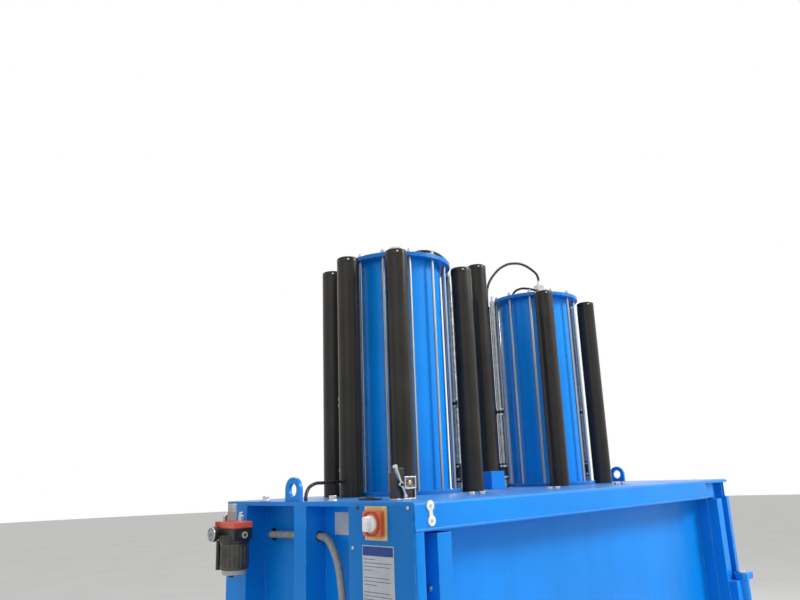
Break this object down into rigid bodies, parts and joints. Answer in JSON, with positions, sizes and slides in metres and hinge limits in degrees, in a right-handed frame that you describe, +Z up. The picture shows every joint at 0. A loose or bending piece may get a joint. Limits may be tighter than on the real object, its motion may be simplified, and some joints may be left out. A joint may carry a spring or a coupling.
{
  "type": "recycling baler",
  "caption": "Vertical recycling baler: press chamber with front doors, press plate driven by air cylinders on the deck, guide rods in black sleeves.",
  "frame": {"origin": "on the floor, in the middle of the body's width and depth, on the underside of the base", "axes": "+Z up, front (doors) towards -Y, +X to the right when seen from the front"},
  "size_m": [1.996, 0.997, 2.5757],
  "materials": {
    "blue_paint": "semi-gloss",
    "barrel_paint": "gloss",
    "sleeve": "satin",
    "zinc": "zinc plated",
    "rod_chrome": "ground",
    "plate_steel": "worn",
    "bush_brass": "machined",
    "pipe_metal": "satin",
    "cream_plate": "satin",
    "red_plastic": "satin",
    "white_plastic": "satin",
    "black_plastic": "satin",
    "grey_plastic": "satin",
    "hose_black": "satin",
    "hose_grey": "satin"
  },
  "bodies": {
    "frame": {"base_frame": "blue_paint", "chamber_floor": "plate_steel", "left_wall": "blue_paint", "right_wall": "blue_paint", "rear_wall": "blue_paint", "rear_ribs": "blue_paint", "top_deck": "blue_paint", "deck_beams": "blue_paint", "left_corner_post": "blue_paint", "right_corner_post": "blue_paint", "control_box": "blue_paint", "control_cover": "blue_paint", "isolator_plate": "cream_plate", "isolator_housing": "red_plastic", "barrel_left": "barrel_paint", "barrel_right": "barrel_paint", "head_left": "blue_paint", "head_right": "blue_paint", "foot_left": "blue_paint", "foot_right": "blue_paint", "tie_rods_left": "zinc", "tie_rods_right": "zinc", "sleeves_left": "sleeve", "sleeves_right": "sleeve", "side_sleeves": "sleeve", "middle_sleeve": "sleeve", "middle_box": "blue_paint", "guide_bushes": "bush_brass", "air_pipes_left": "pipe_metal", "air_pipes_right": "pipe_metal", "pipe_connectors": "hose_black", "loop_hose": "hose_black", "cap_hose_left": "hose_black", "cap_hose_right": "hose_black", "cap_fittings": "zinc", "deck_hose": "hose_black", "bay_hose": "hose_grey", "lifting_lugs": "blue_paint", "switch_bracket": "zinc", "switch_body": "black_plastic", "filter_bracket": "blue_paint", "filter_body": "black_plastic", "filter_cover": "red_plastic", "filter_bowl": "black_plastic", "pressure_gauge": "zinc", "air_inlet": "zinc", "deck_bolts": "zinc", "hinge_pins": "zinc", "latch_keepers": "blue_paint"},
    "press": {"press_plate": "plate_steel", "guide_rods": "rod_chrome", "piston_rod_left": "rod_chrome", "piston_rod_right": "rod_chrome"},
    "loading_door": {"loading_door": "blue_paint"},
    "bale_door": {"bale_door": "blue_paint"},
    "loading_latch": {"loading_latch": "black_plastic"},
    "bale_latch": {"bale_latch": "black_plastic"},
    "isolator_knob": {"isolator_knob": "white_plastic"},
    "regulator_knob": {"regulator_knob": "grey_plastic"},
    "switch_lever": {"switch_lever": "zinc"}
  },
  "joints": [
    {"name": "press_slide", "type": "slide", "parent": "frame", "child": "press", "axis": [0, 0, -1], "range_m": [0, 0.69]},
    {"name": "loading_door_hinge", "type": "hinge", "parent": "frame", "child": "loading_door", "pos_m": [0.882, -0.433, 1.19], "axis": [0, 0, 1], "range_deg": [0, 165]},
    {"name": "bale_door_hinge", "type": "hinge", "parent": "frame", "child": "bale_door", "pos_m": [0.882, -0.433, 0.48], "axis": [0, 0, 1], "range_deg": [0, 165]},
    {"name": "loading_latch_turn", "type": "hinge", "parent": "loading_door", "child": "loading_latch", "pos_m": [-0.839, -0.415, 1.16], "axis": [0, 1, 0], "range_deg": [0, 90]},
    {"name": "bale_latch_turn", "type": "hinge", "parent": "bale_door", "child": "bale_latch", "pos_m": [-0.839, -0.415, 0.485], "axis": [0, 1, 0], "range_deg": [0, 90]},
    {"name": "isolator_turn", "type": "hinge", "parent": "frame", "child": "isolator_knob", "pos_m": [-0.965, -0.279, 1.55], "axis": [-1, 0, 0], "range_deg": [0, 90]},
    {"name": "regulator_turn", "type": "hinge", "parent": "frame", "child": "regulator_knob", "pos_m": [-1.002, 0.279, 1.56], "axis": [0, 0, 1], "range_deg": [-540, 540]},
    {"name": "switch_lever_swing", "type": "hinge", "parent": "frame", "child": "switch_lever", "pos_m": [-0.86, -0.284, 1.638], "axis": [0, 1, 0], "range_deg": [-20, 20], "stiffness_Nm_per_rad": 0.5}
  ]
}
